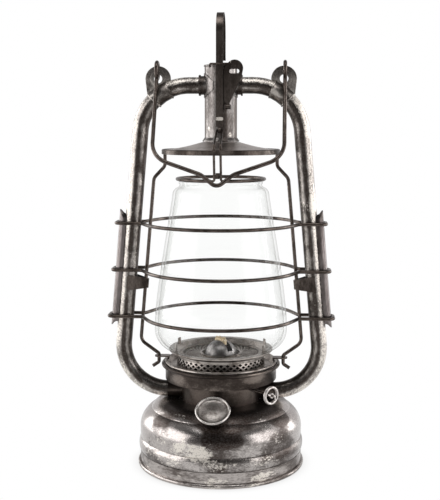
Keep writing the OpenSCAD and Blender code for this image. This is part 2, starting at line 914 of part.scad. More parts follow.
module tray_lug(side) {
    color(wire_tin)
    on_side(side)
        difference() {
            union() {
                translate([tray_rim_r - 1.6, -3, lug_z - 0.5])
                    cube([lug_x - tray_rim_r + 1.6, 6, 1]);
                translate([lug_x, 0, lug_z - 0.5]) cylinder(h = 1, r = 3);
                translate([tray_rim_r - 1.6, -3, tray_z + 0.9]) cube([0.9, 6, lug_z - tray_z - 0.9]);
            }
            translate([lug_x, 0, lug_z - 5]) cylinder(h = 10, r = side_wire + 0.12);
            lathe() translate([tray_rim_r, tray_z]) circle(bead_r + fit, $fn = 32);
        }
}

module tray_lug_left() { tray_lug(-1); }
module tray_lug_right() { tray_lug(1); }

// Outer line of the glass from its foot to its mouth, or the inner line
function glass_line(in) = concat(
    bezier([globe_foot_r - in, globe_z], [globe_foot_r + 6 - in, globe_z + 1 + in / 2],
        [globe_r - in, belly_z - 8], [globe_r - in, belly_z], 7),
    bezier([globe_r - in, belly_z + 0.5], [globe_r - in, belly_z + 24],
        [glass_neck_r + 3.6 - in, neck_z - 26], [glass_neck_r - in, neck_z], 14),
    bezier([glass_neck_r - 0.3 - in, neck_z + 0.8], [glass_neck_r - 1.6 - in, neck_z + 4],
        [globe_mouth_r - in, neck_z + 3], [globe_mouth_r - in, globe_top - 1.6], 6));

module globe() {
    color(clear_glass, 0.35)
    lathe() {
        polygon(concat(glass_line(0), [[globe_mouth_r, globe_top], [globe_mouth_r - glass, globe_top]],
            reverse(glass_line(glass))));
        translate([globe_mouth_r - 0.3, globe_top - 1.2]) circle(1.2, $fn = 24);
    }
}

// Wire ring on the glass, whose ends run up over the hood as two legs
module globe_ring() {
    open_a = 9;
    end_x = ring_r * sin(open_a);
    end_y = -ring_r * cos(open_a);
    knee_y = end_y - (end_x - leg_x - 0.4) * tan(open_a);
    color(wire_tin)
    union() {
        translate([0, 0, ring_z])
            rotate([0, 0, -90 + open_a])
                rotate_extrude(angle = 360 - 2 * open_a, $fn = 128)
                    translate([ring_r, 0])
                        circle(ring_wire, $fn = 24);
        bent([[end_x + 0.4, end_y + 0.06, ring_z], [leg_x + 0.4, knee_y, ring_z],
            [leg_x + 0.4, -leg_hole_y, hood_z + 6.3], [leg_x, -strap_reach - 0.4, strap_low],
            [-leg_x, -strap_reach - 0.4, strap_low], [-leg_x - 0.4, -leg_hole_y, hood_z + 6.3],
            [-leg_x - 0.4, knee_y, ring_z], [-end_x - 0.4, end_y + 0.06, ring_z]],
            [1.6, 3, 1.2, 1.2, 3, 1.6], wire_leg);
    }
}

module ring_clip() {
    color(tin)
    translate([-leg_x + wire_leg - 0.35, -ring_r - 1.2, ring_z + 1.6])
        cube([2 * (leg_x - wire_leg + 0.35), 0.8, 4]);
}

// Strap from the ring's legs up the front, over the chimney and down the back
module lift_strap() {
    arc_z = strap_top - strap_arc - strap_t / 2;
    eye_z = strap_low;
    color(dark_tin)
    difference() {
        translate([-strap_w / 2, 0, 0])
            rotate([90, 0, 90])
                linear_extrude(strap_w)
                    union() {
                        difference() {
                            translate([0, arc_z]) circle(strap_arc + strap_t / 2, $fn = 96);
                            translate([0, arc_z]) circle(strap_arc - strap_t / 2, $fn = 96);
                            translate([-30, arc_z - 40]) square([60, 40]);
                        }
                        translate([-strap_reach - strap_t / 2, eye_z + 1.2])
                            square([strap_t, arc_z - eye_z - 1.2]);
                        translate([strap_reach - strap_t / 2, strap_tail])
                            square([strap_t, arc_z - strap_tail]);
                        translate([strap_reach + 0.6, strap_tail]) circle(1.2, $fn = 32);
                        translate([-strap_reach - 0.4, eye_z]) circle(1.8, $fn = 32);
                    }
        translate([-10, -strap_reach - 0.4, eye_z])
            rotate([0, 90, 0])
                cylinder(h = 20, r = wire_leg + 0.1);
        for (side = [-1, 1])
            on_side(side)
                translate([leg_x - wire_leg - 0.1, -30, eye_z - 5])
                    cube([10, 60, 7.4]);
    }
}

module hood() {
    cone_z = hood_z + hood_band;
    color(silver_tin)
    difference() {
        lathe()
            union() {
                translate([hood_r - sheet, hood_z]) square([sheet, hood_band - sheet / 2]);
                polygon([[hood_r, hood_z + hood_band - 1.2], [hood_r - 0.4, cone_z - 0.2],
                    [hood_r - 2, cone_z], [hood_hole, hood_top], [hood_hole, hood_top - sheet],
                    [hood_r - 2, cone_z - sheet], [hood_r - sheet, cone_z - sheet - 0.1]]);
            }
        for (x = [-leg_x - 0.4, leg_x + 0.4])
            translate([x, -leg_hole_y + 0.6, hood_z - 5])
                cylinder(h = 30, r = wire_leg + 0.9);
    }
}

// ---------------------------------------------------------------- latch

module latch_bracket() {
    cheek = 0.8;
    inner_w = 3.1;
    cheeks = [latch_x, latch_x + cheek + inner_w];
    bracket_w = 2 * cheek + inner_w;
    color(tin)
    difference() {
        union() {
            intersection() {
                translate([0, 0, latch_z - 2.4]) cylinder(h = 4.8, r = chimney_r + fit + 0.7);
                translate([latch_x, -20, latch_z - 5]) cube([bracket_w + 0.1, 20, 10]);
            }
            for (x = cheeks)
                translate([x, -latch_y - 1.6, latch_z - 1.6])
                    cube([cheek, latch_y - chimney_r + 4.6, 3.2]);
            translate([latch_x, -latch_y, latch_z])
                rotate([0, 90, 0])
                    cylinder(h = bracket_w, r = pin_r);
        }
        translate([0, 0, latch_z - 10]) cylinder(h = 20, r = chimney_r + fit);
    }
}

module latch_plate() {
    lobe_r = 5.8;
    lobe_x = 10.3;
    lobe_z = latch_top;
    slot_r = 1.5;
    slot_in = 8.1;
    slot_out = 12;
    foot_x = latch_x + 0.9;
    foot_w = 2.9;
    color(dark_tin)
    difference() {
        union() {
            translate([0, -latch_y + 0.5, 0])
                upright()
                    linear_extrude(1)
                        union() {
                            polygon([[foot_x, latch_z + 0.4], [foot_x + foot_w, latch_z + 0.4],
                                [foot_x + foot_w, latch_z + 2.6], [lobe_x + lobe_r - 0.9, tube_z + 5.5],
                                [lobe_x + lobe_r, lobe_z], [lobe_x, lobe_z + 3],
                                [latch_x + 0.6, lobe_z + 1.4], [latch_x, lobe_z - 0.4],
                                [latch_x, latch_z + 4], [foot_x, latch_z + 3]]);
                            translate([lobe_x, lobe_z]) circle(lobe_r, $fn = 64);
                        }
            translate([foot_x, -latch_y, latch_z])
                rotate([0, 90, 0])
                    cylinder(h = foot_w, r = 1.5);
        }
        translate([0, -latch_y, latch_z])
            rotate([0, 90, 0])
                cylinder(h = 20, r = pin_r + run);
        for (x = [slot_in, slot_out])
            translate([x, -20, lobe_z - 2]) rotate([-90, 0, 0]) cylinder(h = 20, r = slot_r);
        translate([slot_in, -20, lobe_z - 2 - slot_r]) cube([slot_out - slot_in, 20, 2 * slot_r]);
    }
}

// Wire on the latch plate that crosses in front of the strap
module latch_wire() {
    wire = 0.7;
    y = -latch_y - strap_t / 2 - gap - wire;
    z = latch_top + 3;
    hook_x = -strap_w / 2 - gap - wire - 3.2;
    color(wire_tin)
    bent([[latch_x + 5, y, z], [hook_x, y, z], [hook_x, y + 2.6, z - 2]], [1.2], wire);
}

// ---------------------------------------------------------------- bail

module bail() {
    shoulder = [bail_half, 67];
    slope = [10.9, bail_reach - 8.2];
    tip = [0, bail_reach + 1.4];
    plane = [for (p = [[bail_half, eye_r - 0.6], shoulder, slope, tip,
        [-slope.x, slope.y], [-shoulder.x, shoulder.y], [-bail_half, eye_r - 0.6]])
        [p.x, -p.y * sin(bail_tilt), hinge_z - p.y * cos(bail_tilt)]];
    color(wire_tin)
    union() {
        bent(plane, [16, 8, 5, 8, 16], bail_wire);
        for (x = [-bail_half, bail_half])
            translate([x, 0, hinge_z])
                rotate([0, 90, 0])
                    rotate_extrude($fn = 48)
                        translate([eye_r, 0])
                            circle(bail_wire - 0.06, $fn = 24);
    }
}

tank_base();
tank_shell();
filler_neck();
cap_gasket();
filler_cap();
burner_cup();
burner_collar();
tube_socket_left();
tube_socket_right();
side_tube_left();
side_tube_right();
tube_saddle_left();
tube_saddle_right();
chimney();
bail_ear_left();
bail_ear_right();
guard_strip_left();
guard_strip_right();
guard_wire_top();
guard_wire_middle();
guard_wire_bottom();
wire_guide_left();
wire_guide_right();
burner_body();
wick_tube();
burner_dome();
shaft_bush();
wick_shaft();
feed_wheels();
wick_knob();
wick();
globe_tray();
globe_seat();
tray_lug_left();
tray_lug_right();
globe();
globe_ring();
ring_clip();
lift_strap();
hood();
side_wire_left();
side_wire_right();
latch_bracket();
latch_plate();
latch_wire();
bail();
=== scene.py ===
import math
import random

import bmesh
import bpy
from mathutils import Matrix, Vector


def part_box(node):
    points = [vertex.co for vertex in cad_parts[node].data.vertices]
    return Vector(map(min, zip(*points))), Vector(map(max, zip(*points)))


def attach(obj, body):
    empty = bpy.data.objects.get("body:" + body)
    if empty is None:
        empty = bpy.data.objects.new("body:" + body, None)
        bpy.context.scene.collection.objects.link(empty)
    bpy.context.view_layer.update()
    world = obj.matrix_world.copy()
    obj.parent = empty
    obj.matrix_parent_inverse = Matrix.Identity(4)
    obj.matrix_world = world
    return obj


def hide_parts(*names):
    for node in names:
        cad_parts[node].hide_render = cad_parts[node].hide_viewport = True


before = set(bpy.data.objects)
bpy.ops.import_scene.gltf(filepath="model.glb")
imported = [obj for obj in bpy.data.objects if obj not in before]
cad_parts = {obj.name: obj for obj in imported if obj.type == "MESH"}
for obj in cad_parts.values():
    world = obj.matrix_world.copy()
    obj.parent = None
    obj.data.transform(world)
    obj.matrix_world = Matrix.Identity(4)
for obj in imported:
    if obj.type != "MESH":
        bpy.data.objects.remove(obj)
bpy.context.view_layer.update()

MM = 0.001

# The side tubes' run, in millimetres: bends as (centre across, centre height, radius), and the
# straight leg's place across at height 0 with its lean inwards per millimetre of height.
TUBE_TOP = (22.44, 235.33, 34.5)
TUBE_FOOT = (38.43, 84.6, 32)
TUBE_LEG, TUBE_LEAN = 78.1, 0.0892
LEG_HIGH, LEG_LOW = 238.4, 87.4
TUBE_R = 5.75


# ---------------------------------------------------------------- materials


class V:
    """A value in a material: a socket or a number, with arithmetic."""

    def __init__(self, mat, socket):
        self.mat, self.socket = mat, socket

    def math(self, op, *others):
        return self.mat.node("Math", [self, *others], operation=op)

    def __add__(self, other):
        return self.math("ADD", other)

    def __sub__(self, other):
        return self.math("SUBTRACT", other)

    def __mul__(self, other):
        return self.math("MULTIPLY", other)

    def __truediv__(self, other):
        return self.math("DIVIDE", other)

    def __rsub__(self, other):
        return V(self.mat, other).math("SUBTRACT", self)

    __radd__, __rmul__ = __add__, __mul__

    def step(self, low, high):
        """0 below low, 1 above high, smooth between."""
        return self.mat.node(
            "MapRange",
            {"Value": self, "From Min": low, "From Max": high},
            interpolation_type="SMOOTHSTEP",
        )


class Mat:
    """A Principled material that is written down value by value."""

    def __init__(self, name, **constants):
        self.data = bpy.data.materials.new(name)
        self.data.use_nodes = True
        self.tree = self.data.node_tree
        self.tree.nodes.clear()
        self.shader = self.tree.nodes.new("ShaderNodeBsdfPrincipled")
        out = self.tree.nodes.new("ShaderNodeOutputMaterial")
        self.tree.links.new(self.shader.outputs[0], out.inputs["Surface"])
        for key, value in constants.items():
            self.shader.inputs[key.replace("_", " ")].default_value = value
        self.co = self.node("TexCoord", out="Object")
        self.x, self.y, self.z = (self.node("SeparateXYZ", [self.co], out=i) for i in range(3))

    def node(self, kind, inputs=(), out=0, **settings):
        n = self.tree.nodes.new("ShaderNode" + kind)
        for key, value in settings.items():
            setattr(n, key, value)
        pairs = inputs.items() if isinstance(inputs, dict) else enumerate(inputs)
        for key, value in pairs:
            self.put(n.inputs[key], value)
        return V(self, n.outputs[out])

    def put(self, socket, value):
        if isinstance(value, V):
            value = value.socket
        if isinstance(value, bpy.types.NodeSocket):
            self.tree.links.new(value, socket)
        else:
            socket.default_value = value

    def noise(self, size, detail=3.0, rough=0.5, stretch=(1, 1, 1), offset=0.0, at=None):
        """Noise with features of that size, in millimetres, stretched along the axes."""
        at = self.node(
            "Mapping",
            {0: at or self.co, 1: (offset, offset * 0.7, -offset), 3: tuple(1 / s for s in stretch)},
        )
        return self.node(
            "TexNoise",
            {"Vector": at, "Scale": 1 / (size * MM), "Detail": detail, "Roughness": rough},
            out=0,
        )

    def mix(self, factor, a, b):
        return self.node("Mix", {0: factor, 6: colour(a), 7: colour(b)}, out=2, data_type="RGBA")

    def around(self, radius):
        """Place on a round piece: way round it from the front, distance out, and height."""
        turn = self.node("Math", [self.x, 0.0 - self.y], operation="ARCTAN2")
        out = (self.x * self.x + self.y * self.y).math("SQRT")
        return self.node("CombineXYZ", [turn * (radius * MM), out, self.z])

    def patch(self, way, centre, half):
        """1 at the middle of an ellipse on a round piece, 0 at its edge and below beyond it."""
        across = (way - centre[0] * MM) / (half[0] * MM)
        up = (self.z - centre[1] * MM) / (half[1] * MM)
        return 1.0 - (across * across + up * up).math("SQRT")

    def tube_side(self):
        """1 on the outer side of a side tube, 0 along its middle and -1 on its inner side."""
        x = self.x.math("ABSOLUTE")

        def bend(cx, cz, r):
            across = (x - cx * MM).math("MAXIMUM", 0.0)
            up = self.z - cz * MM
            return (across * across + up * up).math("SQRT") - r * MM

        high = self.z.math("GREATER_THAN", LEG_HIGH * MM)
        low = self.z.math("LESS_THAN", LEG_LOW * MM)
        leg = x - (TUBE_LEG * MM - self.z * TUBE_LEAN)
        out = leg * (1.0 - high - low) + bend(*TUBE_TOP) * high + bend(*TUBE_FOOT) * low
        return out / (TUBE_R * MM)

    def bump(self, *layers):
        """Bump of several heights, each (value, depth in millimetres)."""
        normal = None
        for height, depth in layers:
            inputs = {"Height": height, "Strength": 1.0, "Distance": depth * MM}
            if normal is not None:
                inputs["Normal"] = normal
            normal = self.node("Bump", inputs)
        self.put(self.shader.inputs["Normal"], normal)

    def set(self, **values):
        for key, value in values.items():
            self.put(self.shader.inputs[key.replace("_", " ")], value)
        return self


def colour(c):
    return c if isinstance(c, V) else (*c[:3], 1.0)


CREAM = (0.80, 0.75, 0.68)  # what shows where the tin is worn through
FINE_SIZE, PIT_SIZE, PLACE_SIZE = 0.8, 0.9, 22


def metal(name, light, dark, patina=(0.40, 0.62), grain=16.0, worn=0.0, worn_size=1.6,
          stretch=(1, 1, 1), rough=(0.26, 0.46), radius=None, patches=(), painted_highlights=(), painted_shade=(),
          bump=0.05, offset=0.0, painted_side_shading_and_wear=0.0):
    """Aged tinplate: bright tin under a dark patina, with worn cream flecks.

    patina is the noise level where light turns to dark, grain and worn_size are feature sizes,
    worn adds flecks and rough is the roughness of bright and of dark tin. A radius wraps the
    pattern round a piece. patches and the two lists after it are ellipses (way round, height,
    half width, half height, strength), in millimetres: patches are worn through to cream, the
    next list is painted highlight and the last is painted shade. The last setting paints light
    and shade across the side tubes: painted light on their outer side, a painted highlight
    streak and painted shade along their middle and inner side; it also adds worn flecks on the
    outer side.
    """
    m = Mat(name)
    at = m.around(radius) if radius else None
    way = m.node("SeparateXYZ", [at]) if radius else m.x
    big = m.noise(grain, 5, 0.62, stretch, offset, at)
    fine = m.noise(FINE_SIZE, 3, 0.6, stretch, offset + 0.1, at)
    fleck = m.noise(worn_size, 6, 0.74, stretch, offset + 0.3, at)
    pit = m.noise(PIT_SIZE, 3, 0.6, (1, 1, 1), offset + 0.9, at).step(0.60, 0.66)
    place = m.noise(PLACE_SIZE, 3, 0.55, (1, 1, 1), offset + 0.5, at)

    tone = big * 0.75 + fine * 0.25
    # painted shade: each ellipse darkens the tin where it lies in shade
    for x, z, a, b, strength in painted_shade:
        tone = tone + m.patch(way, (x, z), (a, b)).step(0.0, 0.8) * strength
    # painted highlight: each ellipse lightens the tin where a lamp's highlight falls
    for x, z, a, b, strength in painted_highlights:
        tone = tone - m.patch(way, (x, z), (a, b)).step(0.0, 0.8) * strength
    # painted light and shade across the side tubes: the outer side painted lighter, a painted highlight
    # streak, and painted shade along the middle and on the inner side
    if painted_side_shading_and_wear:
        out = m.tube_side()
        outer = out.step(0.05, 0.4)
        painted_highlight_streak = (1.0 - (out + 0.5).math("ABSOLUTE") / 0.28).step(0.0, 1.0)
        painted_core_shade = (1.0 - (out + 0.05).math("ABSOLUTE") / 0.32).step(0.0, 1.0)
        inner = out.step(-0.65, -0.9)
        tone = tone - outer * painted_side_shading_and_wear - painted_highlight_streak * (painted_side_shading_and_wear * 0.5) + painted_core_shade * painted_side_shading_and_wear + inner * painted_side_shading_and_wear
    shade = tone.step(*patina)
    base = m.mix(shade, light, dark)
    base = m.mix(fine.step(0.35, 0.7) * 0.4, base, tuple(c * 0.5 for c in light))

    level = fleck * 0.6 + place * 0.4
    # the outer side also gets more worn cream flecks
    if painted_side_shading_and_wear:
        level = level + outer * 0.11
    for x, z, a, b, strength in patches:
        level = level + m.patch(way, (x, z), (a, b)).step(0.0, 0.45) * strength
    zone = level.step(0.60 - worn, 0.66 - worn)
    worn_off = zone * (1.0 - pit * 0.8)
    base = m.mix(worn_off * 0.85, base, CREAM)
    base = m.mix(zone * pit * 0.8, base, dark)
    m.set(
        Base_Color=base,
        Metallic=1.0 - worn_off * 0.45,
        Roughness=shade * (rough[1] - rough[0]) + (fine * 0.12 + rough[0]) + worn_off * 0.1,
    )
    m.bump((big, bump * 5), (fleck, bump * 0.9), (fine, bump * 0.4))
    return m.data


base_metal = metal(
    "foot_tin", light=(0.43, 0.395, 0.375), dark=(0.055, 0.041, 0.034), patina=(0.41, 0.60),
    grain=14, worn=0.01, worn_size=1.6, stretch=(3, 1, 1), rough=(0.22, 0.36), radius=58,
    patches=[
        (-44, 5.5, 9, 2.5, 0.09), (-27, 5, 7, 2.2, 0.09), (-14, 4, 8, 1.6, 0.09),
        (1, 4.5, 11, 3.2, 0.11), (35, 5.5, 14, 3.4, 0.10), (-4, 1.2, 46, 0.9, 0.06),
    ],
)
shell_metal = metal(
    "tank_tin", light=(0.46, 0.428, 0.41), dark=(0.040, 0.028, 0.023), patina=(0.405, 0.575),
    grain=20, worn=0.0, worn_size=1.5, stretch=(1.6, 1, 1), rough=(0.16, 0.32), radius=56,
    patches=[
        (-16, 24, 17, 8, 0.14), (-25, 31, 7, 9, 0.15), (-40, 29, 7, 5, 0.08), (47, 31, 7, 7, 0.09),
        (25, 28, 15, 4, 0.05), (-38, 15, 26, 5, 0.08), (0, 17, 20, 3.5, 0.05),
        (38, 17, 30, 4, 0.08), (-30, 44, 8, 1.6, 0.07), (-60, 40, 5, 4, 0.08),
    ],
    # painted highlights on both shoulders and along the bright left and right edges of the tank
    painted_highlights=[
        (-25, 35, 12, 7, 0.14), (30, 34, 16, 6, 0.08), (-70, 30, 18, 22, 0.20),
        (76, 30, 20, 22, 0.20),
    ],
    # painted shade on the front below the filler cap, on the shoulders and round the top
    painted_shade=[
        (4, 33, 18, 8, 0.34), (4, 40, 26, 6, 0.28), (-48, 39, 12, 5, 0.20), (58, 40, 18, 6, 0.26),
        (0, 47, 80, 6, 0.30),
    ],
    offset=0.7,
)
collar_metal = metal(
    "collar_tin", light=(0.19, 0.160, 0.140), dark=(0.028, 0.021, 0.018), patina=(0.34, 0.54),
    grain=14, worn=-0.02, worn_size=1.2, stretch=(2, 1, 1), rough=(0.24, 0.38), radius=40,
    patches=[(6, 68.5, 3, 1.6, 0.10), (20, 69, 9, 2.5, 0.05), (30, 66, 8, 4, 0.05)],
    # painted highlights: light bands either side of the collar's front
    painted_highlights=[(30, 68, 14, 5, 0.16), (-30, 67, 10, 5, 0.12)], offset=1.3,
)
tube_metal = metal(
    "tube_tin", light=(0.36, 0.333, 0.31), dark=(0.040, 0.030, 0.025), patina=(0.37, 0.57),
    grain=12, worn=0.01, worn_size=1.1, stretch=(1, 1, 1.5), rough=(0.22, 0.36), offset=2.1,
    # painted light and shade across the tube, with more worn flecks on its outer side
    painted_side_shading_and_wear=0.12,
)
bend_metal = metal(
    "bend_tin", light=(0.40, 0.37, 0.34), dark=(0.040, 0.032, 0.027), patina=(0.40, 0.60), grain=12,
    worn=-0.01, worn_size=1.1, stretch=(1, 1, 1), rough=(0.24, 0.38), bump=0.03, offset=2.4,
)
strip_metal = metal(
    "strip_tin", light=(0.17, 0.150, 0.145), dark=(0.040, 0.029, 0.025), patina=(0.44, 0.68),
    grain=12, worn=-0.04, worn_size=0.9, stretch=(1, 1, 5), rough=(0.24, 0.36), bump=0.02,
    offset=2.5,
)
chimney_metal = metal(
    "chimney_tin", light=(0.32, 0.300, 0.288), dark=(0.060, 0.047, 0.040), patina=(0.42, 0.66),
    grain=14, worn=-0.02, worn_size=1.1, stretch=(1, 1, 2.5), rough=(0.26, 0.38), radius=11.6,
    patches=[(-9, 240, 2, 2, 0.2), (8, 236, 2, 2, 0.2)],
    # painted shade: dark bands down both edges and the middle of the chimney
    painted_shade=[(-17.5, 258, 7, 70, 0.5), (18, 258, 7.5, 70, 0.5), (3, 258, 3, 70, 0.2)], bump=0.03,
    offset=2.7,
)
hood_metal = metal(
    "hood_tin", light=(0.42, 0.375, 0.35), dark=(0.11, 0.088, 0.076), patina=(0.46, 0.72), grain=12,
    worn=-0.01, worn_size=1.1, stretch=(1, 1, 1), rough=(0.30, 0.44), bump=0.03, offset=3.1,
)
# Darker tin for parts that sit in shade under the collar, the dome and the filler cap: painted shade.
shade_painted_metal = metal(
    "shade_painted_tin", light=(0.11, 0.090, 0.078), dark=(0.030, 0.023, 0.019), patina=(0.36, 0.66),
    grain=14, worn=-0.03, worn_size=1.0, stretch=(1, 1, 1), rough=(0.26, 0.42), bump=0.03,
    offset=3.7,
)
dome_metal = metal(
    "dome_tin", light=(0.27, 0.26, 0.255), dark=(0.085, 0.075, 0.068), patina=(0.46, 0.72),
    grain=10, worn=-0.05, worn_size=1.0, stretch=(1, 1, 1), rough=(0.32, 0.42), bump=0.012,
    offset=3.9,
)
strap_metal = metal(
    "strap_tin", light=(0.12, 0.100, 0.088), dark=(0.026, 0.020, 0.017), patina=(0.38, 0.62),
    grain=10, worn=-0.02, worn_size=1.0, stretch=(1, 1, 2.5), rough=(0.28, 0.44),
    patches=[(0, 246.7, 5, 1.6, 0.3)], bump=0.03, offset=4.1,
)
cap_metal = metal(
    "cap_tin", light=(0.34, 0.315, 0.295), dark=(0.08, 0.065, 0.056), patina=(0.42, 0.66), grain=7,
    worn=0.0, worn_size=1.0, stretch=(1, 1, 1), rough=(0.24, 0.40), bump=0.03, offset=4.6,
)
rim_metal = metal(
    "cap_rim_tin", light=(0.60, 0.57, 0.54), dark=(0.26, 0.23, 0.21), patina=(0.50, 0.74), grain=5,
    worn=0.02, worn_size=1.0, stretch=(1, 1, 1), rough=(0.22, 0.36), bump=0.03, offset=4.9,
)
wire_metal = metal(
    "wire_steel", light=(0.115, 0.094, 0.082), dark=(0.024, 0.018, 0.015), patina=(0.42, 0.66),
    grain=8, worn=-0.02, worn_size=0.9, stretch=(1, 1, 1), rough=(0.22, 0.34), bump=0.015,
    offset=5.2,
)
knob_metal = metal(
    "knob_steel", light=(0.62, 0.58, 0.555), dark=(0.26, 0.22, 0.20), patina=(0.52, 0.74), grain=4,
    worn=0.0, worn_size=0.8, stretch=(1, 1, 1), rough=(0.24, 0.38), bump=0.02, offset=5.9,
)
tray_metal = metal(
    "tray_tin", light=(0.40, 0.365, 0.335), dark=(0.11, 0.088, 0.073), patina=(0.44, 0.68), grain=8,
    worn=0.0, worn_size=1.0, stretch=(1, 1, 1), rough=(0.26, 0.40), bump=0.03, offset=6.4,
)


def glass_material():
    """Clear glass that darkens to grey where the eye meets it at a slant."""
    m = Mat("clear_glass", Base_Color=(0.90, 0.91, 0.90, 1), Metallic=1.0, Roughness=0.03)
    ripple = m.noise(16, 2, 0.5, (1, 1, 2.5))
    m.bump((ripple, 0.15))
    slant = m.node("LayerWeight", {"Blend": 0.5}, out=1)
    clear, grey = (m.tree.nodes.new("ShaderNodeBsdfTransparent") for _ in range(2))
    clear.inputs[0].default_value = (0.997, 0.999, 0.997, 1)
    grey.inputs[0].default_value = (0.50, 0.50, 0.485, 1)
    body = m.node("MixShader", [slant.math("POWER", 7.0) * 0.85, clear.outputs[0], grey.outputs[0]])
    top = m.node("MixShader", [slant.math("POWER", 5.0) * 0.5 + 0.01, body, m.shader.outputs[0]])
    out = next(n for n in m.tree.nodes if n.type == "OUTPUT_MATERIAL")
    m.put(out.inputs["Surface"], top)
    return m.data


glass = glass_material()


def wick_material():
    m = Mat("cotton_wick", Sheen_Weight=0.3, Specular_IOR_Level=0.2)
    weave = m.noise(0.5, 2, 0.6, (1, 1, 4))
    stain = m.noise(2.2, 3, 0.55)
    base = m.mix(weave.step(0.3, 0.7), (0.80, 0.68, 0.47), (0.62, 0.47, 0.28))
    base = m.mix(stain.step(0.55, 0.66) * 0.7, base, (0.90, 0.84, 0.72))
    base = m.mix(m.noise(1.4, 2, 0.5, offset=0.4).step(0.64, 0.70) * 0.8, base, (0.10, 0.08, 0.06))
    m.set(Base_Color=base, Roughness=0.9)
    m.bump((weave, 0.12))
    return m.data


def gasket_material():
    m = Mat("fibre_washer")
    grain = m.noise(0.6, 3, 0.6)
    m.set(Base_Color=m.mix(grain, (0.30, 0.18, 0.11), (0.14, 0.08, 0.05)), Roughness=grain * 0.2 + 0.6)
    m.bump((grain, 0.03))
    return m.data


cotton = wick_material()
washer = gasket_material()

LOOKS = {
    base_metal: ["tank_base"],
    shell_metal: ["tank_shell"],
    collar_metal: ["burner_collar", "shaft_bush"],
    tube_metal: ["side_tube_left", "side_tube_right"],
    bend_metal: ["bail_ear_left", "bail_ear_right"],
    strip_metal: ["guard_strip_left", "guard_strip_right"],
    chimney_metal: ["chimney", "tube_saddle_left", "tube_saddle_right", "latch_bracket"],
    hood_metal: ["hood"],
    shade_painted_metal: ["burner_cup", "tube_socket_left", "tube_socket_right", "burner_body", "wick_tube",
                 "filler_neck"],
    dome_metal: ["burner_dome"],
    strap_metal: ["lift_strap", "latch_plate", "latch_wire", "wire_guide_left", "wire_guide_right"],
    cap_metal: ["filler_cap"],
    wire_metal: ["guard_wire_top", "guard_wire_middle", "guard_wire_bottom", "side_wire_left",
                 "side_wire_right", "globe_ring", "ring_clip", "tray_lug_left", "tray_lug_right",
                 "wick_shaft", "feed_wheels", "bail"],
    knob_metal: ["wick_knob"],
    tray_metal: ["globe_tray", "globe_seat"],
    glass: ["globe"],
    cotton: ["wick"],
    washer: ["cap_gasket"],
}


def wear(obj, material):
    """Gives a CAD node its material."""
    obj.data.materials.clear()
    obj.data.materials.append(material)


for material, names in LOOKS.items():
    for name in names:
        wear(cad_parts[name], material)


# ---------------------------------------------------------------- pieces


def arc(cx, cz, r, start, end, n):
    """Points of an arc in the plane of a section, in degrees."""
    turns = [math.radians(start + (end - start) * i / n) for i in range(n + 1)]
    return [(cx + r * math.cos(a), cz + r * math.sin(a)) for a in turns]


def bezier(a, b, c, d, n):
    a, b, c, d = (Vector(p) for p in (a, b, c, d))
    ts = [i / n for i in range(n + 1)]
    return [tuple(a * (1 - t) ** 3 + b * 3 * t * (1 - t) ** 2 + c * 3 * t * t * (1 - t) + d * t ** 3)
            for t in ts]


def lathe(bm, section, steps=128):
    """Turns a closed section, (radius, height) points in millimetres, about the upright axis."""
    verts = [bm.verts.new((r * MM, 0, z * MM)) for r, z in section]
    edges = [bm.edges.new((a, b)) for a, b in zip(verts, verts[1:] + verts[:1])]
    bmesh.ops.spin(bm, geom=verts + edges, cent=(0, 0, 0), axis=(0, 0, 1), angle=2 * math.pi,
                   steps=steps, use_merge=True)


def finish_mesh(name, bm, materials, body, nodes=(), sharp=38):
    """Closes a bmesh into an object that rides on a body and stands in for CAD nodes."""
    bmesh.ops.remove_doubles(bm, verts=bm.verts, dist=1e-6)
    bmesh.ops.recalc_face_normals(bm, faces=bm.faces)
    for face in bm.faces:
        face.smooth = True
    mesh = bpy.data.meshes.new(name)
    bm.to_mesh(mesh)
    bm.free()
    mesh.set_sharp_from_angle(angle=math.radians(sharp))
    for material in materials:
        mesh.materials.append(material)
    obj = bpy.data.objects.new(name, mesh)
    bpy.context.scene.collection.objects.link(obj)
    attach(obj, body)
    if nodes:
        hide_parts(*nodes)
    return obj


def node_span(name):
    """Lowest and highest point of a CAD node, in millimetres, and its outer radius."""
    low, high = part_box(name)
    return low[2] / MM, high[2] / MM, high[0] / MM


def make_globe():
    """Glass globe: one wall that swells to its belly, with a rounded lip at the mouth."""
    foot, top, belly_r = node_span("globe")
    foot_r, mouth_r, thick = 36.0, 29.0, 2.0
    belly, neck, neck_r = foot + 14.5, top - 8, mouth_r + 5

    def line(inset):
        low = bezier((foot_r - inset, foot), (foot_r + 6 - inset, foot + 1 + inset / 2),
                     (belly_r - inset, belly - 8), (belly_r - inset, belly), 18)
        mid = bezier((belly_r - inset, belly), (belly_r - inset, belly + 24),
                     (neck_r + 3.6 - inset, neck - 26), (neck_r - inset, neck), 30)
        high = bezier((neck_r - inset, neck), (neck_r - 1.4 - inset, neck + 4.2),
                      (mouth_r - inset, neck + 3), (mouth_r - inset, top - 2.2), 12)
        return low + mid[1:] + high[1:]

    rim = arc(mouth_r - 0.5, top - 1.2, 1.25, -40, 200, 12)
    bm = bmesh.new()
    lathe(bm, line(0) + rim + line(thick)[::-1], 144)
    finish_mesh("glass_globe", bm, [glass], "cage", ["globe"])


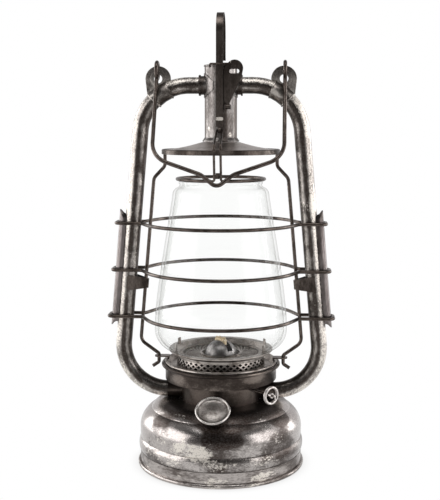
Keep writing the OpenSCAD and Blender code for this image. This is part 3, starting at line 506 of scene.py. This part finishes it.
def make_tank():
    """Tank shell with smooth curves, a rolled seam band and shallow dents.

    A dent is (way round, height, half width, half height, depth), in millimetres.
    """
    low, top, _ = node_span("tank_shell")
    wall, sheet, wrap_r = 58.2, 0.8, 56
    band, bulge = 9.8, 1.35
    groove = low + band
    shoulder_z, shoulder_r = groove + 7.2, 15.0
    shoulder_x = wall - shoulder_r
    crease_x = shoulder_x + shoulder_r * math.cos(math.radians(64))
    crown_r = 16.0
    crown_x = crease_x - crown_r * math.cos(math.radians(40))
    crown_z = top - crown_r
    neck = 9.0
    outer = [(wall - 0.3 + bulge * math.sin(math.pi * i / 16) ** 0.7, low + band * i / 16)
             for i in range(16)]
    outer += [(wall - 0.45, groove), (wall - 0.1, groove + 0.6), (wall, groove + 1.4),
              (wall, shoulder_z - 2)]
    outer += arc(shoulder_x, shoulder_z, shoulder_r, 0, 64, 24)
    outer += arc(crown_x, crown_z, crown_r, 40, 90, 20)
    outer += [(20, top), (neck, top)]
    inner = [(neck, top - sheet), (20, top - sheet)]
    inner += arc(crown_x, crown_z, crown_r - sheet, 90, 40, 10)
    inner += arc(shoulder_x, shoulder_z, shoulder_r - sheet, 64, 0, 10)
    inner += [(wall - sheet - 0.2, low)]
    bm = bmesh.new()
    lathe(bm, outer + inner, 180)
    dents = [(-28, 24, 8, 6, 0.30), (34, 26, 10, 7, 0.28), (8, 29, 9, 5, 0.22), (-58, 30, 9, 8, 0.3),
             (66, 22, 8, 6, 0.3), (-12, 43, 9, 5, 0.3), (30, 42, 10, 5, 0.35), (110, 26, 14, 9, 0.4),
             (-120, 28, 12, 8, 0.35), (-5, 15, 12, 3, 0.15), (40, 14, 9, 3, 0.15)]
    for v in bm.verts:
        out = Vector((v.co.x, v.co.y, 0))
        if out.length < 30 * MM:
            continue
        way = math.atan2(v.co.x, -v.co.y) * wrap_r
        z = v.co.z / MM
        push = 0.06 * math.sin(way / 9 + z / 7) + 0.05 * math.sin(way / 5.3 - z / 4)
        for x, h, a, b, depth in dents:
            push -= depth * math.exp(-(((way - x) / a) ** 2 + ((z - h) / b) ** 2))
        v.co += out.normalized() * (push * MM)
    finish_mesh("tank_body", bm, [shell_metal], "frame", ["tank_shell"], 50)


def make_cap():
    """Dished screw cap: thin rolled rim, conical skirt."""
    tilt = math.radians(34)
    centre = Vector((-2, -50.3, 52.0)) * MM
    r, roll, bore, depth = 12.0, 0.75, 6.65, 5.8
    bm = bmesh.new()
    rim = arc(r - roll, -roll, roll, -70, 165, 14)
    dish = bezier((r - 2 * roll, -0.9), (r - 2 * roll - 0.5, -2.0), (6.0, -1.7), (0.002, -1.15), 14)
    skirt = bezier((bore + 0.8, -depth), (bore + 0.9, -3.9), (r - 2.4, -2.4), (r - roll - 0.2, -1.5), 10)
    lathe(bm, [(0.002, -2.1), (bore, -2.1), (bore, -depth)] + skirt + rim + dish, 96)
    turn = Matrix.Translation(centre) @ Matrix.Rotation(tilt, 4, "X")
    for face in bm.faces:
        mid = face.calc_center_median()
        if math.hypot(mid.x, mid.y) > (r - 2 * roll) * MM and mid.z > -1.6 * MM:
            face.material_index = 1
    bmesh.ops.transform(bm, matrix=turn, verts=bm.verts)
    finish_mesh("screw_cap", bm, [cap_metal, rim_metal], "cap", ["filler_cap"], 50)


def lattice(bm, rings, count, web, thick):
    """Expanded sheet: rings of (radius, height), joined by rhombic cells with a hole in each."""
    rows = []
    for k, (r, z) in enumerate(rings):
        turns = [(i + (k % 2) / 2) * 2 * math.pi / count for i in range(count)]
        rows.append([bm.verts.new((r * MM * math.cos(a), r * MM * math.sin(a), z * MM)) for a in turns])
    cells, ends = [], []
    for k in range(len(rows) - 2):
        for i in range(count):
            j = (i + k % 2) % count
            left, right = rows[k + 1][(j - 1) % count], rows[k + 1][j]
            cells.append(bm.faces.new((rows[k][i], right, rows[k + 2][i], left)))
    for k, inner in ((0, 1), (len(rows) - 1, len(rows) - 2)):
        for i in range(count):
            j = (i + k % 2) % count
            a, b = rows[k][i], rows[k][(i + 1) % count]
            ends.append(bm.faces.new((a, b, rows[inner][j])))
    bmesh.ops.recalc_face_normals(bm, faces=cells + ends)
    holes = bmesh.ops.inset_individual(bm, faces=cells, thickness=web / 2 * MM, use_even_offset=True)
    bmesh.ops.delete(bm, geom=cells, context="FACES_ONLY")
    kept = holes["faces"] + ends
    bmesh.ops.solidify(bm, geom=kept, thickness=thick * MM)


def make_tray():
    """Tray: rolled rim, trough, and a wall and inner plate of pierced sheet."""
    low, _, _ = node_span("globe_tray")
    rim_r, bead, sheet = 38.9, 1.3, 0.8
    rim_z, trough, plate = low + 3.0, low, low + 8.2
    wall_r, top_r, hole_r = 31.3, 30.2, 13.6
    bm = bmesh.new()
    trough_line = [(wall_r, trough), (rim_r - 2.2, trough)]
    trough_line += arc(rim_r, rim_z, bead, -140, 150, 28)
    trough_line += [(rim_r - 2.9, trough + sheet), (wall_r, trough + sheet)]
    lathe(bm, trough_line, 128)
    lathe(bm, [(wall_r - 0.1, trough), (wall_r + 0.7, trough), (wall_r + 0.6, trough + 1.5),
               (wall_r - 0.2, trough + 1.5)], 128)
    lathe(bm, [(top_r + 0.1, plate - 0.9), (top_r + 0.8, plate - 0.9), (top_r + 0.8, plate + sheet),
               (top_r - 1.6, plate + sheet), (top_r - 1.6, plate), (top_r, plate)], 128)
    lathe(bm, [(hole_r, plate), (hole_r + 1.5, plate), (hole_r + 1.5, plate + 1.1),
               (hole_r, plate + 1.1)], 96)
    steps, cells, thin = 4, 42, 0.5
    wall_web, plate_web, growth = 0.85, 0.75, 1.075
    low_z, high_z = trough + 1.2, plate - 0.5
    lattice(bm, [(wall_r + 0.35 + (top_r - wall_r) * k / steps, low_z + (high_z - low_z) * k / steps)
                 for k in range(steps + 1)], cells, wall_web, thin)
    rings, r = [], hole_r + 1.0
    while r < top_r - 0.4:
        rings.append((r, plate + 0.35))
        r *= growth
    lattice(bm, rings, cells, plate_web, thin)
    finish_mesh("pierced_tray", bm, [tray_metal], "cage", ["globe_tray"], 30)


def tuft(bm, root, tip, sag, r0, r1, sides=5, parts=5):
    """A thread of cotton from root to tip, in millimetres, that bows sideways by sag."""
    path = [root.lerp(tip, i / parts) + sag * math.sin(math.pi * i / parts) for i in range(parts + 1)]
    rows = []
    for i, p in enumerate(path):
        way = (path[min(i + 1, parts)] - path[max(i - 1, 0)]).normalized()
        side = way.cross(Vector((0.3, 1, 0.2))).normalized()
        other = way.cross(side)
        r = r0 + (r1 - r0) * i / parts
        turns = [2 * math.pi * k / sides for k in range(sides)]
        rows.append([bm.verts.new((p + side * (r * math.cos(a)) + other * (r * math.sin(a))) * MM)
                     for a in turns])
    for a, b in zip(rows, rows[1:]):
        for k in range(sides):
            bm.faces.new((a[k], a[(k + 1) % sides], b[(k + 1) % sides], b[k]))
    bm.faces.new(rows[0][::-1])
    bm.faces.new(rows[-1])


def make_wick():
    """Flat wick with a charred, frayed end."""
    low, high, _ = node_span("wick")
    rng = random.Random(5)
    half, thin = 5.5, 1.0
    threads, fray = 110, 2.2
    top = high - fray
    turn = Matrix.Rotation(math.radians(-45), 4, "Z")
    bm = bmesh.new()
    block = bmesh.ops.create_cube(bm, size=1.0)["verts"]
    bmesh.ops.scale(bm, vec=(2 * half * MM, 2 * thin * MM, (top - low) * MM), verts=block)
    bmesh.ops.translate(bm, vec=(0, 0, (top + low) / 2 * MM), verts=block)
    bmesh.ops.bevel(bm, geom=bm.edges[:], offset=0.35 * MM, segments=2, profile=0.5, affect="EDGES",
                    material=-1)
    for _ in range(threads):
        x = rng.uniform(-half + 0.5, half - 0.5)
        y = rng.uniform(-thin + 0.45, thin - 0.45)
        height = rng.uniform(0.4, fray) * (0.7 + 0.3 * math.cos(x * 1.3 + 1))
        lean = max(-half + 0.3, min(half - 0.3, x + rng.uniform(-0.9, 0.9)))
        root = Vector((x, y, top - 0.6))
        tip = Vector((lean, rng.uniform(-thin + 0.25, thin - 0.25), top + height))
        sag = Vector((rng.uniform(-0.2, 0.2), rng.uniform(-0.12, 0.12), 0))
        tuft(bm, root, tip, sag, rng.uniform(0.24, 0.38), 0.14)
    bmesh.ops.transform(bm, matrix=turn, verts=bm.verts)
    finish_mesh("frayed_wick", bm, [cotton], "wick", ["wick"], 60)


def make_hood():
    """Spun hood: hollow-curved cone, dip and rolled rim over a thin band."""
    low, high, r = node_span("hood")
    hole, sheet, roll = 13.4, 0.8, 1.0
    rim_z = low + 2.5
    top = bezier((r - 3.2, rim_z + 0.7), (r - 14, rim_z + 1.6), (hole + 7, high - 2.0), (hole, high), 22)
    under = [(x, z - sheet) for x, z in reversed(top)]
    rim = arc(r - roll, rim_z, roll, 175, -20, 14)
    bm = bmesh.new()
    lathe(bm, [(r - 3.2, rim_z + 0.7), (r - 2.3, rim_z + 0.1)] + rim[1:] + [(r, low + 0.2), (r - 0.3, low),
               (r - sheet, low), (r - sheet, rim_z - 1.1), (r - 2.3, rim_z - 0.8),
               (r - 3.2, rim_z + 0.7 - sheet)] + under[::-1][1:] + top[::-1][:-1], 144)
    for face in bm.faces:
        mid = face.calc_center_median()
        if math.hypot(mid.x, mid.y) > (r - 2.4) * MM or mid.z < (low + 1) * MM:
            face.material_index = 1
    finish_mesh("spun_hood", bm, [hood_metal, strap_metal], "cage", ["hood"], 40)


def ring_plate(bm, centre, edge, hole, half_t, steps=72):
    """Plate across the depth with a round hole; edge gives its outline's distance by direction."""
    turns = [2 * math.pi * i / steps for i in range(steps)]
    loops = []
    for y in (-half_t, half_t):
        for reach in (edge, lambda a: hole):
            loops.append([bm.verts.new(((centre[0] + reach(a) * math.cos(a)) * MM, y * MM,
                                        (centre[1] + reach(a) * math.sin(a)) * MM)) for a in turns])
    front_out, front_in, back_out, back_in = loops
    faces = []
    for a, b in ((front_out, front_in), (back_in, back_out), (front_in, back_in), (back_out, front_out)):
        for i in range(steps):
            j = (i + 1) % steps
            faces.append(bm.faces.new((a[i], a[j], b[j], b[i])))
    bmesh.ops.recalc_face_normals(bm, faces=faces)
    rim = set(front_out + back_out)
    edges = [e for e in bm.edges if e.verts[0] in rim and e.verts[1] in rim
             and abs(e.verts[0].co.y - e.verts[1].co.y) < 1e-7]
    bmesh.ops.bevel(bm, geom=edges, offset=0.3 * MM, segments=2, profile=0.5, affect="EDGES", material=-1)


def bend_sleeve(bm, centre, bend_r, r, start, end, sides=48):
    """Sleeve round a bent tube, from start to end in degrees, with a bead at each end."""
    rows = []
    shape = [(0.0, r - 0.9), (0.0, r + 0.1), (0.03, r + 0.4), (0.07, r + 0.4), (0.11, r), (0.5, r),
             (0.89, r), (0.93, r + 0.4), (0.97, r + 0.4), (1.0, r + 0.1), (1.0, r - 0.9)]
    for share, reach in shape:
        a = math.radians(start + (end - start) * share)
        out = Vector((math.cos(a), 0, math.sin(a)))
        mid = Vector((centre[0], 0, centre[1])) + out * bend_r
        turns = [2 * math.pi * k / sides for k in range(sides)]
        round_it = [out * (reach * math.cos(t)) + Vector((0, reach * math.sin(t), 0)) for t in turns]
        rows.append([bm.verts.new((mid + p) * MM) for p in round_it])
    rows.append(rows[0])
    for a, b in zip(rows, rows[1:]):
        for k in range(sides):
            bm.faces.new((a[k], a[(k + 1) % sides], b[(k + 1) % sides], b[k]))


def make_ears():
    """Bail ears: pear-shaped plate with a raised ring round its hole, on a beaded sleeve."""
    *bend, bend_r = TUBE_TOP
    centre = Vector((43.9, 274.33))
    foot = [Vector((51.6, 263.2)), Vector((40.0, 261.0)), Vector((34.6, 268.5))]
    disc_r, hole_r, disc_half = 8.9, 3.1, 0.9
    ring_r, ring_hole, ring_half = 5.6, 3.0, 1.3
    sleeve_r, sleeve_start, sleeve_end = 6.3, 44, 68

    def edge(a):
        way = Vector((math.cos(a), math.sin(a)))
        reach = disc_r
        ends = [centre + Vector((math.cos(t), math.sin(t))) * disc_r
                for t in (math.radians(-7), math.radians(205))]
        line = [ends[0]] + foot + [ends[1]]
        for p, q in zip(line, line[1:]):
            side = q - p
            across = way.x * side.y - way.y * side.x
            if abs(across) < 1e-9:
                continue
            t = ((p.x - centre.x) * side.y - (p.y - centre.y) * side.x) / across
            u = ((p.x - centre.x) * way.y - (p.y - centre.y) * way.x) / across
            if t > 0 and 0 <= u <= 1:
                reach = max(reach, t)
        return reach

    for side, name in ((-1, "left"), (1, "right")):
        bm = bmesh.new()
        ring_plate(bm, centre, edge, hole_r, disc_half)
        ring_plate(bm, centre, lambda a: ring_r, ring_hole, ring_half)
        bend_sleeve(bm, bend, bend_r, sleeve_r, sleeve_start, sleeve_end)
        if side < 0:
            bmesh.ops.scale(bm, vec=(-1, 1, 1), verts=bm.verts)
            bmesh.ops.reverse_faces(bm, faces=bm.faces)
        finish_mesh("pierced_ear_" + name, bm, [bend_metal], "frame",
                    ["bail_ear_" + name], 35)


make_globe()
make_tank()
make_hood()
make_ears()
make_cap()
make_tray()
make_wick()


# ---------------------------------------------------------------- studio


def area_light(name, at, aim, size, power, tint=(1, 1, 1)):
    """Rectangular lamp at a place, turned to a point, with its size in metres."""
    data = bpy.data.lights.new(name, "AREA")
    data.shape = "RECTANGLE"
    data.size, data.size_y = size
    data.energy, data.color = power, tint
    light = bpy.data.objects.new(name, data)
    light.location = at
    light.rotation_euler = (Vector(aim) - Vector(at)).to_track_quat("-Z", "Y").to_euler()
    bpy.context.scene.collection.objects.link(light)


def room():
    """White all round for the eye, dark in front and overhead for the metal to mirror."""
    world = bpy.data.worlds.new("studio")
    bpy.context.scene.world = world
    world.use_nodes = True
    tree = world.node_tree
    tree.nodes.clear()

    def add(kind, links=(), **settings):
        n = tree.nodes.new("ShaderNode" + kind)
        for key, value in settings.items():
            setattr(n, key, value)
        for i, value in enumerate(links):
            if isinstance(value, bpy.types.NodeSocket):
                tree.links.new(value, n.inputs[i])
            elif value is not None:
                n.inputs[i].default_value = value
        return n.outputs[0]

    path = tree.nodes.new("ShaderNodeLightPath")
    seen = add("Math", [path.outputs["Is Camera Ray"], path.outputs["Is Transmission Ray"]],
               operation="MAXIMUM")
    way = tree.nodes.new("ShaderNodeTexCoord").outputs["Generated"]
    split = tree.nodes.new("ShaderNodeSeparateXYZ")
    tree.links.new(way, split.inputs[0])
    behind = add("MapRange", [split.outputs[1], -0.55, 0.40, 0.05, 0.80],
                 interpolation_type="SMOOTHSTEP")
    high = add("MapRange", [split.outputs[2], 0.25, 0.85, 1.0, 0.35],
               interpolation_type="SMOOTHSTEP")
    strength = add("Math", [behind, high], operation="MULTIPLY")
    dim = add("Background", [(0.99, 0.97, 0.97, 1), strength])
    white = add("Background", [(1, 1, 1, 1), 1.0])
    out = add("MixShader", [seen, dim, white])
    tree.links.new(out, tree.nodes.new("ShaderNodeOutputWorld").inputs[0])


def floor():
    """White table that glows evenly, with a painted contact shadow only where the lantern stands on it."""
    bm = bmesh.new()
    bmesh.ops.create_grid(bm, x_segments=2, y_segments=2, size=6)
    mesh = bpy.data.meshes.new("floor")
    bm.to_mesh(mesh)
    bm.free()
    table = bpy.data.objects.new("floor", mesh)
    table.location.z = -0.3 * MM  # just under the foot, so that the two never share a plane
    bpy.context.scene.collection.objects.link(table)
    paper = Mat("white_table", Base_Color=(0, 0, 0, 1), Specular_IOR_Level=0.0, Roughness=1.0,
                Emission_Strength=1.0)
    # painted contact shadow: ambient occlusion darkens the glowing table close to the foot
    painted_contact_shadow = paper.node("AmbientOcclusion", {"Distance": 0.009}, out=1, samples=16)
    paper.set(Emission_Color=paper.mix(painted_contact_shadow, (0.70, 0.69, 0.68), (1.0, 1.0, 1.0)))
    mesh.materials.append(paper.data)


def camera():
    """Camera as fitted to the photo's rims: way round, look down, distance and focal length."""
    data = bpy.data.cameras.new("camera")
    data.sensor_width, data.lens = 36, 68.9
    obj = bpy.data.objects.new("camera", data)
    turn, pitch, away, height, swing = math.radians(4), math.radians(7.4), 0.6756, 0.242, 0.0009
    obj.location = (away * math.sin(turn), -away * math.cos(turn), height)
    obj.rotation_euler = (math.pi / 2 - pitch, 0, turn + swing)
    data.clip_start, data.clip_end = 0.01, 50
    bpy.context.scene.collection.objects.link(obj)
    bpy.context.scene.camera = obj
    bpy.context.scene.view_settings.view_transform = "Standard"


KEY_TINT = (1.0, 0.98, 0.98)
area_light("key_left", (-0.88, -0.30, 0.34), (0, 0, 0.15), (0.85, 0.8), 5.5, KEY_TINT)
area_light("key_right", (0.86, -0.34, 0.36), (0, 0, 0.15), (0.70, 0.8), 4.2, KEY_TINT)
area_light("edge_left", (-0.75, 0.36, 0.22), (0, 0, 0.14), (0.35, 0.9), 4)
area_light("edge_right", (0.75, 0.36, 0.22), (0, 0, 0.14), (0.30, 0.9), 4)
area_light("top", (0.0, -0.25, 1.0), (0, 0, 0.1), (0.7, 0.4), 3)
room()
floor()
camera()
